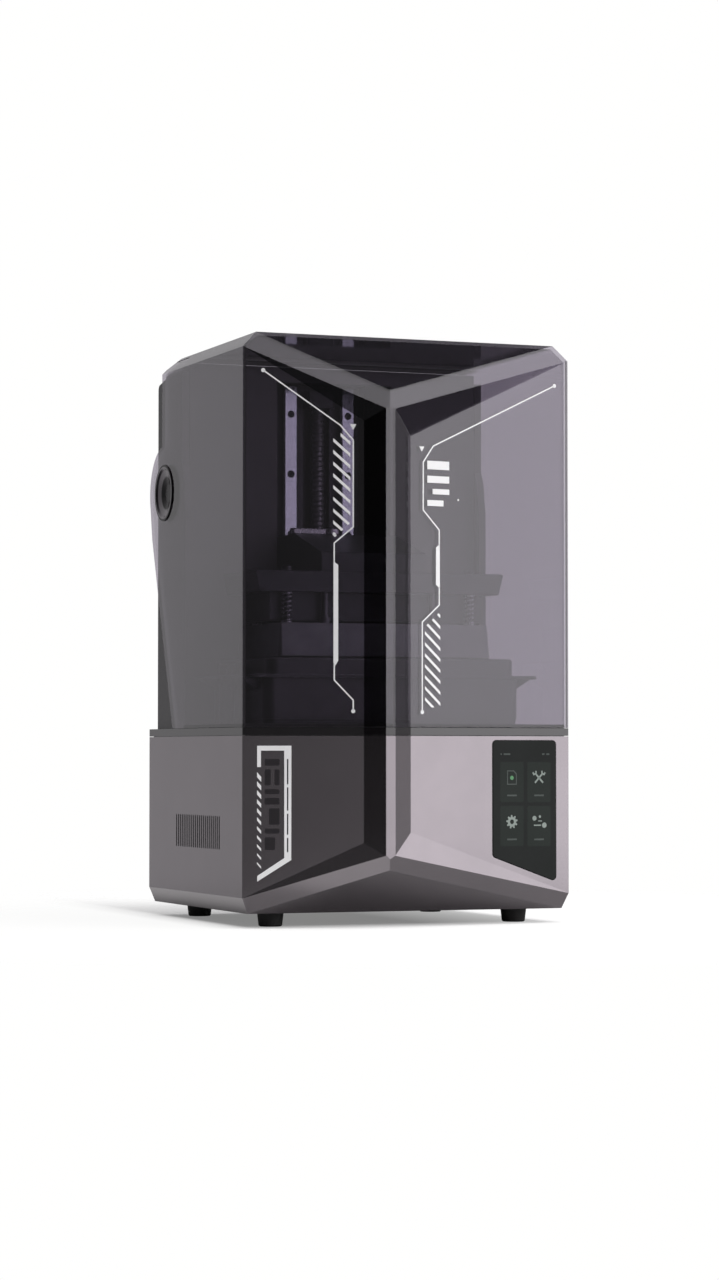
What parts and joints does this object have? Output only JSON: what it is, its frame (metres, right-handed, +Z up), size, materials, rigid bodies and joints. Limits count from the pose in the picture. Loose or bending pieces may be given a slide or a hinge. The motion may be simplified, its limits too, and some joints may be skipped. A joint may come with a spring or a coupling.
{
  "type": "resin printer",
  "caption": "Desktop masked-LCD resin printer with a faceted base, a smoked flip-up lid, a screw-driven build platform and a tilting resin vat.",
  "frame": {"origin": "on the table under the middle of the printer's outer box", "axes": "+Z up, +X to the viewer's right when facing the printer, -Y towards the viewer (the front)"},
  "size_m": [0.3298, 0.3292, 0.548],
  "materials": {
    "base_paint": "metallic warm grey paint, satin",
    "deck_gloss": "near-black moulding, polished like the lid",
    "dark_steel": "black powder coat",
    "foot_rubber": "matt black rubber",
    "bright_steel": "bright steel",
    "tower_plastic": "dark grey moulded plastic, fine texture",
    "black_anodised": "black anodised aluminium",
    "rail_steel": "ground bearing steel",
    "black_screw": "black oxide steel",
    "motor_black": "black motor casing",
    "black_plastic": "black moulded plastic",
    "white_plastic": "white reflective plastic",
    "clear_lens": "clear moulded lens sheet",
    "board_green": "green circuit board",
    "bare_aluminium": "bare extruded aluminium",
    "screen_glass": "black cover glass",
    "lid_smoke": "smoked transparent moulding, polished",
    "seal_rubber": "soft black seal",
    "cap_gloss": "polished dark hinge cap with bright rim",
    "plate_aluminium": "dark hard-anodised and laser-etched aluminium",
    "vat_aluminium": "dark anodised cast aluminium",
    "clear_film": "clear release film"
  },
  "bodies": {
    "base": {"base_shell": "base_paint", "deck_frame": "deck_gloss", "floor_plate": "dark_steel", "rubber_feet": "foot_rubber", "foot_screws": "bright_steel", "rear_housing": "tower_plastic", "hinge_cheek_left": "tower_plastic", "hinge_cheek_right": "tower_plastic", "hinge_pins": "bright_steel", "column_plate": "black_anodised", "rail_left": "rail_steel", "rail_right": "rail_steel", "rail_screws": "black_screw", "column_feet": "black_anodised", "z_motor": "motor_black", "motor_mount": "black_anodised", "screw_bearings": "black_anodised", "limit_sensor": "black_plastic", "tilt_brackets": "dark_steel", "tilt_pins": "bright_steel", "tilt_actuator": "motor_black", "light_hood": "white_plastic", "lens_array": "clear_lens", "led_board": "board_green", "light_standoffs": "bright_steel", "heat_sink": "bare_aluminium", "fan_frame": "black_plastic", "mainboard": "board_green", "touchscreen_glass": "screen_glass", "touchscreen_module": "black_plastic", "usb_port": "bright_steel", "io_panel": "black_plastic", "rocker_bezel": "black_plastic", "dc_jack": "black_plastic"},
    "lid": {"lid_shell": "lid_smoke", "lid_seal": "seal_rubber", "hinge_cap_left": "cap_gloss", "hinge_cap_right": "cap_gloss"},
    "lead_screw": {"shaft_coupler": "bare_aluminium", "ball_screw": "bright_steel"},
    "platform": {"rail_carriages": "rail_steel", "ball_nut": "bright_steel", "carriage_plate": "black_anodised", "platform_arm": "black_anodised", "platform_wing": "black_anodised", "build_plate": "plate_aluminium", "levelling_screws": "black_screw", "levelling_springs": "bright_steel"},
    "lever": {"release_lever": "bright_steel"},
    "stage": {"tilt_stage": "black_anodised", "lcd_panel": "screen_glass", "vat_frame": "vat_aluminium", "film_ring": "black_anodised", "vat_film": "clear_film"},
    "clamp_left": {"clamp_knob_left": "black_plastic"},
    "clamp_right": {"clamp_knob_right": "black_plastic"},
    "lift": {"tilt_rod": "bright_steel"},
    "fan": {"fan_rotor": "black_plastic"},
    "rocker": {"power_rocker": "black_plastic"}
  },
  "joints": [
    {"name": "lid_hinge", "type": "hinge", "parent": "base", "child": "lid", "pos_m": [0, 0.118, 0.416], "axis": [-1, 0, 0], "range_deg": [0, 80]},
    {"name": "platform_lift", "type": "slide", "parent": "base", "child": "platform", "axis": [0, 0, 1], "range_m": [-0.058, 0.15]},
    {"name": "screw_spin", "type": "hinge", "parent": "base", "child": "lead_screw", "pos_m": [0, 0.125, 0.3], "axis": [0, 0, 1], "range_deg": [-10900, 4220]},
    {"name": "lever_turn", "type": "hinge", "parent": "platform", "child": "lever", "pos_m": [-0.014, 0.052, 0.377], "axis": [0, 0, 1], "range_deg": [0, 90]},
    {"name": "stage_tilt", "type": "hinge", "parent": "base", "child": "stage", "pos_m": [-0.128, 0, 0.177], "axis": [0, 1, 0], "range_deg": [0, 2.2]},
    {"name": "lift_slide", "type": "slide", "parent": "base", "child": "lift", "axis": [0, 0, -1], "range_m": [0, 0.0098]},
    {"name": "clamp_turn_left", "type": "hinge", "parent": "stage", "child": "clamp_left", "pos_m": [-0.14, -0.004, 0.24], "axis": [0, 0, 1], "range_deg": [0, 360]},
    {"name": "clamp_turn_right", "type": "hinge", "parent": "stage", "child": "clamp_right", "pos_m": [0.14, -0.004, 0.24], "axis": [0, 0, 1], "range_deg": [0, 360]},
    {"name": "fan_spin", "type": "hinge", "parent": "base", "child": "fan", "pos_m": [-0.095, 0.154, 0.1], "axis": [0, 1, 0], "continuous": true},
    {"name": "rocker_tip", "type": "hinge", "parent": "base", "child": "rocker", "pos_m": [0.072, 0.157, 0.086], "axis": [1, 0, 0], "range_deg": [0, 16]}
  ],
  "couplings": [
    {"joint": "screw_spin", "follows": "platform_lift", "rad_per_m": -1256.6},
    {"joint": "lift_slide", "follows": "stage_tilt", "m_per_rad": 0.252}
  ]
}
